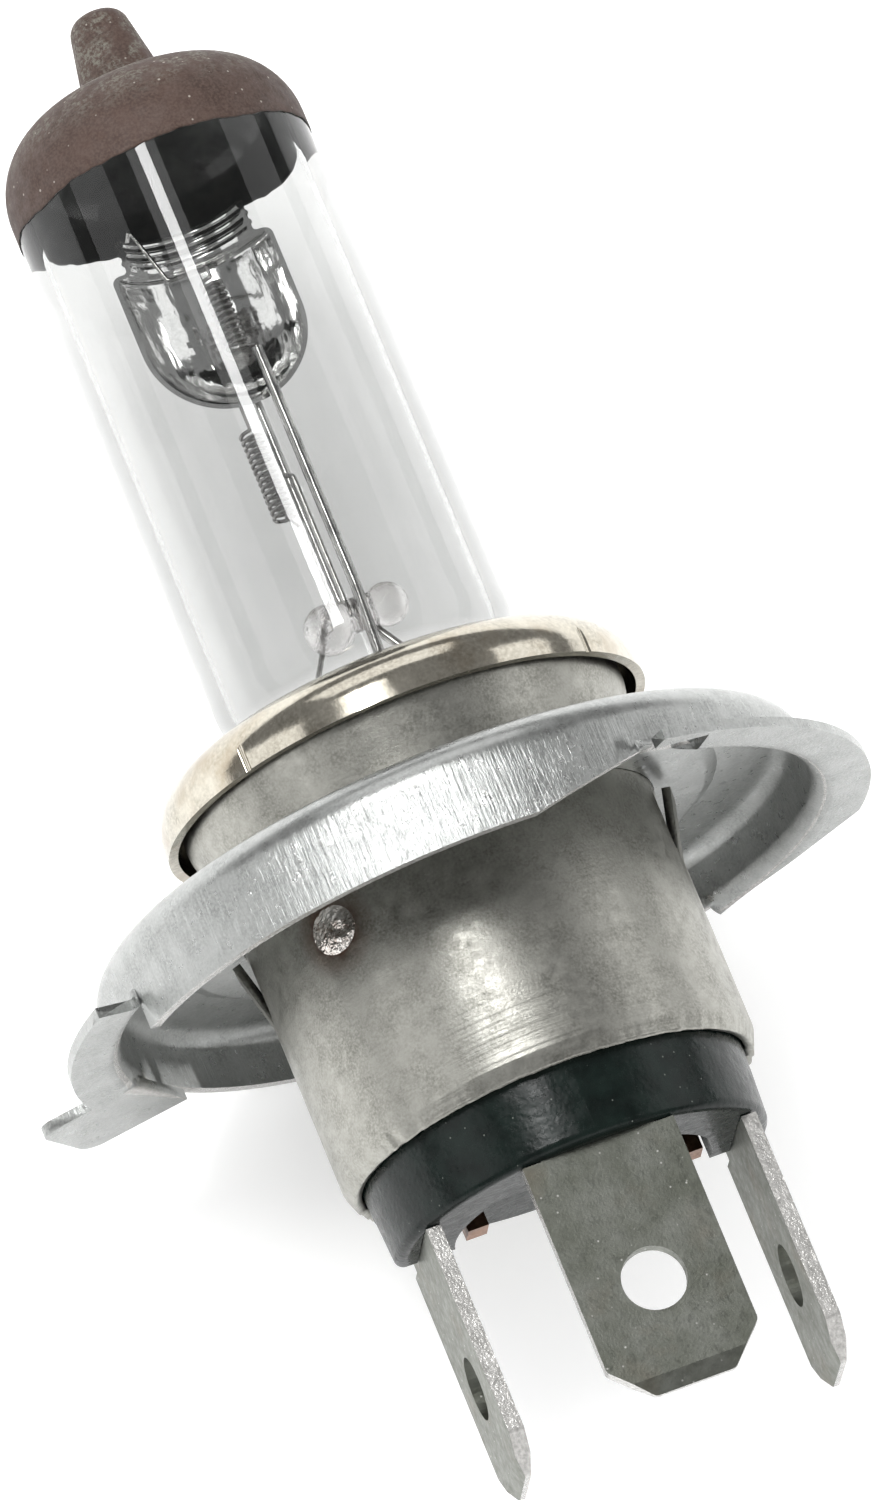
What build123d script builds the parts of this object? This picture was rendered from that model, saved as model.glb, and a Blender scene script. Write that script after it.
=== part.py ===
from build123d import *
import math
import os

# Headlight bulb with two filaments on a prefocus flange.
# Frame: origin at the centre of the flange's reference plane, +Y along the axis to the glass tip,
# +Z up as fitted in the lamp (the centre terminal's side), +X to the right seen from above.
# An angle round the axis starts at +Z and grows towards +X.

# Fits
SLIP = 0.05            # gap round a piece that slips into another
SEAL = 0.02            # gap round a lead or a foil sealed in glass

# Glass envelope
GLASS_RADIUS = 7.95
GLASS_WALL = 1.0
GLASS_FOOT = 10.6      # height of the envelope's rounded foot
GLASS_FOOT_CORNER = 4.2
DOME_START = 42.3      # end of the straight tube
DOME_RISE = 4.3
DOME_CORNER = 4.3
NIPPLE_RADIUS = 2.2
NIPPLE_TIP_RADIUS = 1.35
NIPPLE_TIP = 52.0
NIPPLE_BORE = 0.6
NIPPLE_TIP_ROUND = 0.95
NIPPLE_ROOT = 0.9      # rise of the crown to the nipple's root
NIPPLE_ROOT_FILLET = 1.0
TIP_SEAL = 2.0         # solid length at the nipple's tip
PINCH_WIDTH = 12.2
PINCH_THICKNESS = 3.6
PINCH_BOTTOM = -4.0
PINCH_EDGE = 0.6

# Cap coating
COAT_THICKNESS = 0.08
COAT_EDGE = 41.8

# Dipped-beam shield
SHIELD_RADIUS = 4.8    # radius of the bowl before its rim is cut
SHIELD_HALF_WIDTH = 4.35
SHIELD_SHEET = 0.22
SHIELD_BASE_END = 29.5
SHIELD_SHOULDER = 38.2
SHIELD_TIP_END = 40.1
SHIELD_RIM = -0.25     # height of the rim plane
SHIELD_NECK_HALF = 3.45
RIB_COUNT = 3
RIB_RADIUS = 0.2
SHIELD_FILLET = 0.32
MARK_LENGTH = 0.9
MARK_WIDTH = 0.35
MARK_PLACES = ((-1.25, 34.4), (-1.2, 32.9))

# Filaments
COIL_RADIUS = 0.52
COIL_WIRE = 0.1        # radius of the filament wire
MAIN_COIL_START = 23.1
MAIN_COIL_LENGTH = 5.0
MAIN_COIL_TURNS = 15
MAIN_COIL_X = -0.75
MAIN_COIL_Z = -0.35
DIPPED_COIL_START = 32.3
DIPPED_COIL_LENGTH = 4.0
DIPPED_COIL_TURNS = 12
DIPPED_COIL_X = 0.25
DIPPED_COIL_Z = 0.35

# Inner leads
ROD_RADIUS = 0.3
ROD_X = 1.05
ROD_Z = 0.95
WIRE_RADIUS = 0.15
FINE_WIRE_RADIUS = 0.105
NECK_WIRE_X = -2.6      # where the fine wire passes the end of the shield's neck
NECK_WIRE_TAIL = 1.6
SUPPORT_RADIUS = 0.25
SUPPORT_X = 0.3
SUPPORT_Z = -0.9
HOOK_X = 0.35
HOOK_Z = 0.25
HOOK_TOP = 25.0
HOOK_ARM = 0.45
LEG_LENGTH = 0.6       # straight leg at the end of a coil
LEAD_BEND = 18.2       # height where the leads turn towards the pinch
LEAD_MEET = 12.4       # height where the leads stand over their foils
BEAD_PLACE = (0.9, 13.9, 0.4)
BEAD_RADIUS = 0.6
FOIL_TOP = 7.6
LEAD_PITCH = 3.6       # spacing of the leads in the pinch

# Glass bridge across the leads
BRIDGE_HEIGHT = 17.0
BRIDGE_Z = 0.1
BRIDGE_BAR_RADIUS = 0.9
LEFT_BULGE_X = -0.9
LEFT_BULGE_RADIUS = 1.35
LEFT_BULGE_DROP = 0.3
RIGHT_BEAD_X = 2.3
RIGHT_BEAD_RADIUS = 1.15

# Foils and outer leads
FOIL_LENGTH = 7.0
FOIL_WIDTH = 2.2
FOIL_THICKNESS = 0.06
OUTER_LEAD_RADIUS = 0.35
OUTER_LEAD_TURN = -5.6  # height where an outer lead turns out to its blade
OUTER_LEAD_DROP = 3.2
OUTER_LEAD_BEND = 0.9
SOLDER_RADIUS = 0.9
SOLDER_RISE = 0.3

# Base sleeve
SLEEVE_RADIUS = 11.05
SLEEVE_SHEET = 0.45
SLEEVE_BOTTOM = -11.6
SLEEVE_CURL = 0.3      # how far the bottom edge turns in
SLEEVE_CURL_HEIGHT = 0.8
SLEEVE_FLARE = 0.75    # how far the top flares out
FLARE_START = 5.4
FLARE_END = 8.4
FLARE_BEND = 1.5

# Collar
COLLAR_OVERHANG = 1.8   # how far the collar stands out past the sleeve
COLLAR_SHEET = 0.5
COLLAR_TOP = 11.4
COLLAR_EDGE = 8.3
COLLAR_CORNER = 2.4
COLLAR_GAP = 0.25      # clearance of the opening round the glass
COLLAR_LIP = 1.5       # depth of the opening's turned-in lip
COLLAR_LIP_CORNER = 0.85
CREASE_COUNT = 4
CREASE_START = 45
CREASE_RADIUS = 0.3
CREASE_PROUD = 0.18

# Flange ring
RING_RADIUS = 19.05
RING_SHEET = 0.55
RING_TOP = 3.6
RING_CORNER = 1.4
SKIRT_EDGE = 0.0       # edge of the skirt round the back
APRON_EDGE = -1.7      # edge of the longer skirt between the two curved lugs
STEP_RADIUS = 14.2     # radius of the pressed step in the top plate
STEP_DROP = 0.35
STEP_BEND = 0.3
LUG_RADIUS = 21.5
LUG_BEND = 0.9
LUG_START = 1.8        # height where a lug's sheet leaves the skirt
RIGHT_LUG = (24, 131)
LEFT_LUG = (-113, -71)
SLOPE_START = 5.5      # angle where the apron's edge starts to climb to the right lug
CHORD_ANGLE = 125      # the right lug's far end is cut straight
CHORD_REACH = 19.2
FLAT_LUG_ANGLE = -119
FLAT_LUG_WIDTH = 6.0
FLAT_LUG_REACH = 24.5
FLAT_LUG_CORNER = 1.0

# Fixings of the flange to the sleeve
SPOT_RADIUS = 1.2
SPOT_RISE = 0.28
SPOT_HEIGHT = -0.5
SPOT_ANGLES = (-46, 134)
TAB_ANGLES = (-101, 79)
TAB_WIDTH = 2.6
TAB_BOTTOM = -1.2
TAB_LENGTH = 3.6
TAB_TILT = 14
TAB_MARGIN = 0.3       # cut left round a tab

# Clamp round the pinch
CLAMP_HEIGHT = 6.0
CLAMP_SHEET = 0.5
TONGUE_WIDTH = 7.0
TONGUE_LENGTH = 6.0

# Insulator
INSULATOR_STEP = 0.85   # step from the sleeve's outside to the insulator's
INSULATOR_DRAFT = 0.25
INSULATOR_EDGE = 0.5
INSULATOR_BOTTOM = -15.6
REAR_BOTTOM = -12.6    # the underside behind the blades stands higher
REAR_START = -1.0
INSULATOR_FLOOR = -11.2
INSULATOR_TOP = -6.4
INSULATOR_WALL = 1.3
POCKET_RADIUS = 6.9
POCKET_DEPTH = 1.6

# Terminal blades
BLADE_WIDTH = 8.0
BLADE_THICKNESS = 0.8
BLADE_END = -28.7
BLADE_OFFSET = 8.6     # distance of the centre blade's middle from the axis
SIDE_BLADE_OFFSET = 8.4
SIDE_BLADE_RAISE = 0.5
BLADE_HOLE = 3.3
BLADE_HOLE_FROM_END = 5.6
BLADE_CHAMFER = 1.9
BLADE_CORNER = 0.9
COIN_LENGTH = 0.9      # bevel pressed on the end of a blade
COIN_DEPTH = 0.25
TANG_WIDTH = 6.0
TANG_TOP = -10.4
CRIMP_WIDTH = 1.5
CRIMP_DEPTH = 1.1

sleeve_bore = SLEEVE_RADIUS - SLEEVE_SHEET
glass_bore = GLASS_RADIUS - GLASS_WALL
foil_bottom = FOIL_TOP - FOIL_LENGTH
crown = DOME_START + DOME_RISE
collar_under = COLLAR_TOP - COLLAR_SHEET
sleeve_mid = SLEEVE_RADIUS - SLEEVE_SHEET / 2
collar_radius = SLEEVE_RADIUS + COLLAR_OVERHANG
insulator_radius = SLEEVE_RADIUS - INSULATOR_STEP
tongue_face = PINCH_THICKNESS / 2 + SLIP
shield_lift = SHIELD_RIM + math.sqrt(SHIELD_RADIUS**2 - SHIELD_HALF_WIDTH**2)
bowl_centre = SHIELD_BASE_END + SHIELD_HALF_WIDTH


def upright(x, y, z):
    """A plane at a point, facing the glass tip."""
    return Plane(origin=(x, y, z), x_dir=(1, 0, 0), z_dir=(0, 1, 0))


def disc(radius, low, high, x=0, z=0):
    """A cylinder along the axis between two heights."""
    return Solid.make_cylinder(radius, high - low, upright(x, low, z))


def block(x_size, y_size, z_size, x, y, z):
    return Pos(x, y, z) * Box(x_size, y_size, z_size)


def turned(face, arc=360, start=0):
    """Revolve a section in the XY plane; an arc starts at an angle from +Z towards +X."""
    return Rot(0, start - 90, 0) * revolve(face, Axis.Y, revolution_arc=arc)


def placed(shape, angle):
    """Turn a shape made on the +Z side to an angle round the axis."""
    return Rot(0, angle, 0) * shape


def sheet(points, radii, thickness):
    """The section of a bent sheet that follows a route."""
    return trace(FilletPolyline(*points, radius=radii), thickness)


def round_wire(points, radius, bend):
    """A round wire along a route with rounded corners."""
    route = FilletPolyline(*points, radius=bend) if len(points) > 2 else Line(*points)
    return sweep(Plane(origin=route @ 0, z_dir=route % 0) * Circle(radius), path=route)


def filled(points, radii):
    """A section closed along the axis of the bulb."""
    edge = FilletPolyline(*points, radius=radii)
    return make_face([*edge.edges(), Line(edge @ 1, edge @ 0)])


def glass_section(grow=0):
    """The envelope's full section; a coat grows it."""
    points = [
        (0, GLASS_FOOT - grow),
        (GLASS_RADIUS + grow, GLASS_FOOT - grow),
        (GLASS_RADIUS + grow, crown + grow),
        (NIPPLE_RADIUS + grow, crown + NIPPLE_ROOT + grow),
        (NIPPLE_TIP_RADIUS + grow, NIPPLE_TIP + grow),
        (0, NIPPLE_TIP + grow),
    ]
    radii = [GLASS_FOOT_CORNER + grow, DOME_CORNER + grow, NIPPLE_ROOT_FILLET - grow, NIPPLE_TIP_ROUND + grow]
    return filled(points, radii)


def glass_inside():
    points = [
        (0, GLASS_FOOT + GLASS_WALL),
        (glass_bore, GLASS_FOOT + GLASS_WALL),
        (glass_bore, crown - GLASS_WALL),
        (NIPPLE_BORE, crown + NIPPLE_ROOT - GLASS_WALL),
        (NIPPLE_BORE, NIPPLE_TIP - TIP_SEAL),
        (0, NIPPLE_TIP - TIP_SEAL),
    ]
    radii = [GLASS_FOOT_CORNER - GLASS_WALL, DOME_CORNER - GLASS_WALL, NIPPLE_BORE, NIPPLE_BORE / 2]
    return turned(filled(points, radii))


def rod(grow=0):
    points = [
        (ROD_X, bowl_centre - 2 * COIL_RADIUS - LEG_LENGTH - ROD_RADIUS, ROD_Z),
        (ROD_X, LEAD_BEND, ROD_Z),
        BEAD_PLACE,
        (0, LEAD_MEET, 0),
        (0, FOIL_TOP, 0),
    ]
    return round_wire(points, ROD_RADIUS + grow, ROD_RADIUS * 2)


def main_lead(grow=0):
    x = MAIN_COIL_X + COIL_RADIUS
    top = MAIN_COIL_START - LEG_LENGTH
    points = [
        (x, top, MAIN_COIL_Z),
        (x, LEAD_BEND, MAIN_COIL_Z),
        (-LEAD_PITCH, LEAD_MEET, 0),
        (-LEAD_PITCH, FOIL_TOP, 0),
    ]
    return round_wire(points, WIRE_RADIUS + grow, 1.0)


def shield_support(grow=0):
    """The wire that carries the shield stops at the outside of its bowl."""
    reach = SHIELD_RADIUS**2 - SUPPORT_X**2 - (shield_lift - SUPPORT_Z) ** 2
    top = bowl_centre - math.sqrt(reach) - SUPPORT_RADIUS / 2 - SLIP
    points = [
        (SUPPORT_X, top, SUPPORT_Z),
        (SUPPORT_X, LEAD_BEND, SUPPORT_Z),
        (LEAD_PITCH, LEAD_MEET, 0),
        (LEAD_PITCH, FOIL_TOP, 0),
    ]
    return round_wire(points, SUPPORT_RADIUS + grow, 1.0)


def hook(grow=0):
    """The hook that steadies the main-beam coil, set in the glass bridge."""
    points = [
        (HOOK_X, BRIDGE_HEIGHT, HOOK_Z),
        (HOOK_X, HOOK_TOP, HOOK_Z),
        (HOOK_X - HOOK_ARM, HOOK_TOP + HOOK_ARM / 2, HOOK_Z),
    ]
    return round_wire(points, WIRE_RADIUS + grow, WIRE_RADIUS * 1.2)


def glass_envelope():
    """A closed tube with a domed end, its exhaust nipple and the flat pinch that seals the leads."""
    pinch_top = GLASS_FOOT + GLASS_WALL / 2
    height = pinch_top - PINCH_BOTTOM
    pinch = block(PINCH_WIDTH, height, PINCH_THICKNESS, 0, PINCH_BOTTOM + height / 2, 0)
    pinch = fillet(pinch.edges().filter_by(Axis.Y), PINCH_EDGE)
    glass = turned(glass_section()) + pinch - glass_inside()
    for lead in (rod, main_lead, shield_support):
        glass -= lead(SEAL)
    for x in (-LEAD_PITCH, 0, LEAD_PITCH):
        glass -= foil(x, SEAL)
        glass -= disc(OUTER_LEAD_RADIUS + SEAL, PINCH_BOTTOM - SLIP, foil_bottom, x)
    return glass


def foil(x, grow=0):
    gap = 2 * grow
    middle = FOIL_TOP - FOIL_LENGTH / 2
    return block(FOIL_WIDTH + gap, FOIL_LENGTH, FOIL_THICKNESS + gap, x, middle, 0)


def cap_coating():
    """A thin painted shell on the dome and the nipple."""
    below = Pos(0, COAT_EDGE - GLASS_RADIUS * 4) * Rectangle(GLASS_RADIUS * 4, GLASS_RADIUS * 8)
    return turned(glass_section(COAT_THICKNESS) - glass_section() - below)


def dipped_beam_shield():
    """A bowl-ended trough under the dipped-beam coil, with ribs across its neck."""
    radius = SHIELD_RADIUS - SHIELD_SHEET / 2
    neck = math.hypot(SHIELD_NECK_HALF, SHIELD_RIM - shield_lift) - SHIELD_SHEET / 2
    bowl = CenterArc((0, bowl_centre), radius, -90, 90)
    points = [(radius, bowl_centre), (radius, SHIELD_SHOULDER), (neck, SHIELD_SHOULDER), (neck, SHIELD_TIP_END)]
    section = trace([*bowl.edges(), *FilletPolyline(*points, radius=SHIELD_FILLET).edges()], SHIELD_SHEET)
    rib_room = SHIELD_TIP_END - SHIELD_SHOULDER - SHIELD_FILLET
    for index in range(RIB_COUNT):
        height = SHIELD_TIP_END - RIB_RADIUS - index * rib_room / RIB_COUNT
        section += Pos(neck, height) * Circle(RIB_RADIUS)
    shield = Pos(0, 0, shield_lift) * turned(section)
    above = 3 * SHIELD_RADIUS
    shield -= block(above, above, above, 0, bowl_centre, SHIELD_RIM + above / 2)
    for x, y in MARK_PLACES:
        floor = shield_lift - math.sqrt((SHIELD_RADIUS - SHIELD_SHEET) ** 2 - x**2)
        shield -= block(MARK_LENGTH, MARK_WIDTH, SHIELD_SHEET, x, y, floor)
    return shield


def coil(x, z, start, length, turns, upper_leg, lower_end):
    """A wound filament with a straight leg at its top and a leg that runs to its lead below."""
    helix = Pos(x, start, z) * Helix(length / turns, length, COIL_RADIUS, direction=(0, 1, 0))
    winding = sweep(Plane(origin=helix @ 0, z_dir=helix % 0) * Circle(COIL_WIRE), path=helix, is_frenet=True)
    top = helix @ 1
    winding += disc(COIL_WIRE, top.Y, top.Y + upper_leg, top.X, top.Z)
    return winding + round_wire([helix @ 0, lower_end], COIL_WIRE, 0)


def main_beam_filament():
    top = MAIN_COIL_START + MAIN_COIL_LENGTH
    depth = shield_lift - MAIN_COIL_Z
    side = MAIN_COIL_X + COIL_RADIUS
    bowl = bowl_centre - math.sqrt(SHIELD_RADIUS**2 - depth**2 - side**2)
    lower = (side, MAIN_COIL_START - LEG_LENGTH + SLIP, MAIN_COIL_Z)
    leg = bowl - top - COIL_WIRE - SLIP
    return coil(MAIN_COIL_X, MAIN_COIL_Z, MAIN_COIL_START, MAIN_COIL_LENGTH, MAIN_COIL_TURNS, leg, lower)


def dipped_beam_filament():
    rod_top = bowl_centre - 2 * COIL_RADIUS - LEG_LENGTH - ROD_RADIUS
    lower = (ROD_X, rod_top + COIL_WIRE + SLIP, ROD_Z)
    return coil(
        DIPPED_COIL_X, DIPPED_COIL_Z, DIPPED_COIL_START, DIPPED_COIL_LENGTH, DIPPED_COIL_TURNS, LEG_LENGTH, lower
    )


def dipped_beam_wire():
    """The fine wire from the top of the dipped-beam coil over the end of the shield's neck."""
    top = DIPPED_COIL_START + DIPPED_COIL_LENGTH + LEG_LENGTH + WIRE_RADIUS
    points = [
        (DIPPED_COIL_X + COIL_RADIUS + WIRE_RADIUS, top, DIPPED_COIL_Z),
        (-SHIELD_NECK_HALF / 2, top, DIPPED_COIL_Z / 2),
        (NECK_WIRE_X, SHIELD_TIP_END + 2 * WIRE_RADIUS, 0),
        (NECK_WIRE_X, SHIELD_TIP_END + 2 * WIRE_RADIUS, SHIELD_RIM - NECK_WIRE_TAIL),
    ]
    return round_wire(points, FINE_WIRE_RADIUS, 2 * WIRE_RADIUS)


def glass_bridge():
    """Two glass beads and a bar melted round the leads."""
    length = RIGHT_BEAD_X - LEFT_BULGE_X
    bar_plane = Plane(origin=(LEFT_BULGE_X, BRIDGE_HEIGHT, BRIDGE_Z), z_dir=(1, 0, 0))
    bridge = Solid.make_cylinder(BRIDGE_BAR_RADIUS, length, bar_plane)
    bridge += Pos(LEFT_BULGE_X, BRIDGE_HEIGHT - LEFT_BULGE_DROP, BRIDGE_Z) * Sphere(LEFT_BULGE_RADIUS)
    bridge += Pos(RIGHT_BEAD_X, BRIDGE_HEIGHT, BRIDGE_Z) * Sphere(RIGHT_BEAD_RADIUS)
    for lead in (rod, main_lead, shield_support, hook):
        bridge -= lead(SEAL)
    return bridge


def lead_bead():
    return Pos(*BEAD_PLACE) * Sphere(BEAD_RADIUS) - rod(SEAL)


def collar_ring():
    """A rounded cap with a turned-in lip round the glass and four shallow creases."""
    lip = GLASS_RADIUS + COLLAR_GAP + COLLAR_SHEET / 2
    wall = collar_radius - COLLAR_SHEET / 2
    top = COLLAR_TOP - COLLAR_SHEET / 2
    points = [(lip, COLLAR_TOP - COLLAR_LIP), (lip, top), (wall, top), (wall, COLLAR_EDGE)]
    ring = turned(sheet(points, [COLLAR_LIP_CORNER, COLLAR_CORNER - COLLAR_SHEET / 2], COLLAR_SHEET))
    depth = collar_radius + CREASE_PROUD
    for index in range(CREASE_COUNT):
        crease = disc(CREASE_RADIUS, COLLAR_EDGE - SLIP, COLLAR_TOP - COLLAR_CORNER / 2, 0, depth)
        ring -= placed(crease, CREASE_START + index * 360 / CREASE_COUNT)
    return ring


def tab_frame():
    """The hinge line of a tab on the +Z side; its length runs up and its thickness outwards."""
    return Pos(0, TAB_BOTTOM, sleeve_mid) * Rot(TAB_TILT, 0, 0)


def base_sleeve():
    """A tube with a curled foot, a flared top and two tabs bent out under the flange."""
    flared = sleeve_mid + SLEEVE_FLARE
    corner = COLLAR_CORNER - COLLAR_SHEET
    corner_centre = collar_radius - COLLAR_CORNER
    reach = max(flared + SLEEVE_SHEET / 2 - corner_centre, 0)
    flared_top = COLLAR_TOP - COLLAR_CORNER + math.sqrt(corner**2 - reach**2) - SLIP
    points = [
        (sleeve_mid - SLEEVE_CURL, SLEEVE_BOTTOM),
        (sleeve_mid, SLEEVE_BOTTOM + SLEEVE_CURL_HEIGHT),
        (sleeve_mid, FLARE_START),
        (flared, FLARE_END),
        (flared, flared_top),
    ]
    tube = turned(sheet(points, [SLEEVE_CURL_HEIGHT, FLARE_BEND, FLARE_BEND], SLEEVE_SHEET))
    window_width = TAB_WIDTH + 2 * TAB_MARGIN
    window = block(window_width, TAB_LENGTH, 4 * SLEEVE_SHEET, 0, TAB_BOTTOM + TAB_LENGTH / 2, sleeve_mid)
    plate = tab_frame() * block(TAB_WIDTH, TAB_LENGTH, SLEEVE_SHEET, 0, TAB_LENGTH / 2 - TAB_MARGIN, 0)
    for angle in TAB_ANGLES:
        tube = tube - placed(window, angle) + placed(plate, angle)
    return tube


def weld_spots():
    """Two low round spots of weld metal on the sleeve under the flange."""
    dome_radius = (SPOT_RADIUS**2 + SPOT_RISE**2) / (2 * SPOT_RISE)
    outward = SLEEVE_RADIUS + SPOT_RISE - dome_radius
    dome = Pos(0, SPOT_HEIGHT, outward) * Sphere(dome_radius)
    spot = dome - disc(SLEEVE_RADIUS, SPOT_HEIGHT - 2 * dome_radius, SPOT_HEIGHT + 2 * dome_radius)
    return Compound([placed(spot, angle).solid() for angle in SPOT_ANGLES])


def skirt_gap(start, end, height):
    """The part of the skirt that is missing below a height between two angles."""
    depth = height - APRON_EDGE + SLIP
    section = Pos(RING_RADIUS, height - depth / 2) * Rectangle(4 * RING_SHEET, depth)
    return turned(section, end - start, start)


def curved_lug(start, end):
    wall = RING_RADIUS - RING_SHEET / 2
    foot = -RING_SHEET / 2
    points = [(wall, LUG_START), (wall, foot), (LUG_RADIUS, foot)]
    return turned(sheet(points, LUG_BEND, RING_SHEET), end - start, start)


def flat_lug():
    """A straight-sided lug with rounded corners."""
    reach = FLAT_LUG_REACH - RING_RADIUS + RING_SHEET
    plate = block(FLAT_LUG_WIDTH, RING_SHEET, reach, 0, -RING_SHEET / 2, FLAT_LUG_REACH - reach / 2)
    corners = plate.edges().filter_by(Axis.Y).sort_by(Axis.Z)[-2:]
    return placed(fillet(corners, FLAT_LUG_CORNER), FLAT_LUG_ANGLE)


def skirt_slope():
    """The wedge missing where the skirt's edge climbs to the right lug."""
    half = math.radians(RIGHT_LUG[0] - SLOPE_START) / 2
    run = RING_RADIUS * math.tan(half) + SLIP
    low = APRON_EDGE - SLIP
    wedge = Polyline((-run, APRON_EDGE), (run, SKIRT_EDGE), (2 * run, SKIRT_EDGE), (2 * run, low), (-run, low), close=True)
    prism = extrude(Plane.XY.offset(RING_RADIUS - 2 * RING_SHEET) * make_face(wedge), 4 * RING_SHEET)
    return placed(prism, (RIGHT_LUG[0] + SLOPE_START) / 2)


def flange_ring():
    """A pressed ring with a stepped top plate, a skirt, two curved lugs and one flat lug."""
    wall = RING_RADIUS - RING_SHEET / 2
    top = RING_TOP - RING_SHEET / 2
    low = top - STEP_DROP
    bore = SLEEVE_RADIUS + SLIP
    points = [
        (bore, low), (STEP_RADIUS - STEP_DROP, low), (STEP_RADIUS + STEP_DROP, top), (wall, top), (wall, APRON_EDGE)
    ]
    ring = turned(sheet(points, [STEP_BEND, STEP_BEND, RING_CORNER], RING_SHEET))
    ring -= skirt_gap(RIGHT_LUG[0], LEFT_LUG[1] + 360, SKIRT_EDGE)
    for start, end in (RIGHT_LUG, LEFT_LUG):
        ring = ring - skirt_gap(start, end, LUG_BEND - RING_SHEET / 2) + curved_lug(start, end)
    beyond = FLAT_LUG_REACH
    chord = block(2 * beyond, beyond, beyond, 0, 0, CHORD_REACH + beyond / 2)
    return ring - skirt_slope() - placed(chord, CHORD_ANGLE) + flat_lug()


def pinch_clamp():
    """A plate across the sleeve with a slot for the pinch and two tongues that grip its faces."""
    plate = disc(sleeve_bore - SLIP, CLAMP_HEIGHT - CLAMP_SHEET, CLAMP_HEIGHT)
    slot_x = PINCH_WIDTH + 2 * SLIP
    slot_z = PINCH_THICKNESS + 2 * SLIP
    plate -= block(slot_x, 4 * CLAMP_SHEET, slot_z, 0, CLAMP_HEIGHT, 0)
    for side in (-1, 1):
        middle = side * (tongue_face + CLAMP_SHEET / 2)
        plate += block(TONGUE_WIDTH, TONGUE_LENGTH, CLAMP_SHEET, 0, CLAMP_HEIGHT - TONGUE_LENGTH / 2, middle)
    return plate


def insulator():
    """A moulded cup that closes the sleeve and holds the three blades."""
    neck = sleeve_bore - SLIP
    step = SLEEVE_BOTTOM + SLEEVE_CURL_HEIGHT
    points = [
        (0, INSULATOR_BOTTOM),
        (insulator_radius - INSULATOR_DRAFT, INSULATOR_BOTTOM),
        (insulator_radius, step - SLIP),
        (neck, step + SLIP),
        (neck, INSULATOR_TOP),
        (neck - INSULATOR_WALL, INSULATOR_TOP),
        (neck - INSULATOR_WALL, INSULATOR_FLOOR),
        (0, INSULATOR_FLOOR),
    ]
    cup = turned(make_face(Polyline(*points, close=True)))
    rim = cup.edges().group_by(Axis.Y)[0]
    cup = fillet(rim, INSULATOR_EDGE)
    cup -= disc(POCKET_RADIUS, INSULATOR_BOTTOM - SLIP, INSULATOR_BOTTOM + POCKET_DEPTH)
    step_depth = REAR_BOTTOM - INSULATOR_BOTTOM + SLIP
    wide = 4 * insulator_radius
    cup -= block(wide, step_depth, wide, 0, REAR_BOTTOM - step_depth / 2, REAR_START - wide / 2)
    depth = INSULATOR_FLOOR - INSULATOR_BOTTOM
    slot = Box(TANG_WIDTH + 2 * SLIP, 2 * depth, BLADE_THICKNESS + 2 * SLIP)
    for place in blade_places():
        cup -= place * Pos(0, INSULATOR_FLOOR, 0) * slot
    return cup


def blade_places():
    """Where the blades' middles lie: centre, left and right."""
    return (
        Pos(0, 0, BLADE_OFFSET),
        Pos(-SIDE_BLADE_OFFSET, 0, SIDE_BLADE_RAISE) * Rot(0, -90, 0),
        Pos(SIDE_BLADE_OFFSET, 0, SIDE_BLADE_RAISE) * Rot(0, 90, 0),
    )


def blade():
    """A flat blade with a narrow tang, a contact hole, cut corners and a coined end."""
    shoulder = INSULATOR_BOTTOM - SLIP
    half = BLADE_WIDTH / 2
    tang = TANG_WIDTH / 2
    tip = half - BLADE_CHAMFER
    outline = Polyline(
        (tang, TANG_TOP), (tang, shoulder), (half, shoulder), (half, BLADE_END + BLADE_CHAMFER), (tip, BLADE_END),
        (-tip, BLADE_END), (-half, BLADE_END + BLADE_CHAMFER), (-half, shoulder), (-tang, shoulder), (-tang, TANG_TOP),
        close=True,
    )
    face = make_face(outline)
    corners = [v for v in face.vertices() if v.Y < shoulder - BLADE_WIDTH]
    face = fillet(corners, BLADE_CORNER / 2)
    plate = extrude(Plane.XY.offset(-BLADE_THICKNESS / 2) * face, BLADE_THICKNESS)
    plate -= Pos(0, BLADE_END + BLADE_HOLE_FROM_END, 0) * Cylinder(BLADE_HOLE / 2, 2 * BLADE_THICKNESS)
    for side in (0, 180):
        plate -= Rot(0, side, 0) * coin_cut()
    return plate


def coin_cut():
    """The bevel pressed on one face of a blade's end."""
    face = BLADE_THICKNESS / 2
    wedge = Polyline(
        (BLADE_END - SLIP, face + SLIP), (BLADE_END + COIN_LENGTH, face + SLIP), (BLADE_END + COIN_LENGTH, face),
        (BLADE_END, face - COIN_DEPTH), (BLADE_END - SLIP, face - COIN_DEPTH), close=True,
    )
    return extrude(Plane.YZ.offset(-BLADE_WIDTH) * make_face(wedge), 2 * BLADE_WIDTH)


def outer_lead(x, place):
    """A wire from a foil out of the pinch to the inner face of its blade."""
    target = place * Pos(0, 0, -(BLADE_THICKNESS / 2 + OUTER_LEAD_RADIUS + SLIP))
    end = target.position
    turn = OUTER_LEAD_TURN
    points = [
        (x, foil_bottom, 0),
        (x, turn, 0),
        (end.X, turn - OUTER_LEAD_DROP, end.Z),
        (end.X, INSULATOR_FLOOR + SLIP, end.Z),
    ]
    return round_wire(points, OUTER_LEAD_RADIUS, OUTER_LEAD_BEND)


def solder_joints(leads, blades):
    """Solder between the end of each outer lead and the top of its blade."""
    joints = []
    height = TANG_TOP - INSULATOR_FLOOR + SOLDER_RISE
    for place, lead, plate in zip(blade_places(), leads, blades):
        centre = place * Pos(0, 0, -BLADE_THICKNESS / 2 - OUTER_LEAD_RADIUS)
        column = disc(SOLDER_RADIUS, INSULATOR_FLOOR + SLIP, INSULATOR_FLOOR + height)
        joints.append(centre * column - lead - plate)
    return Compound([joint.solid() for joint in joints])


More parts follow.
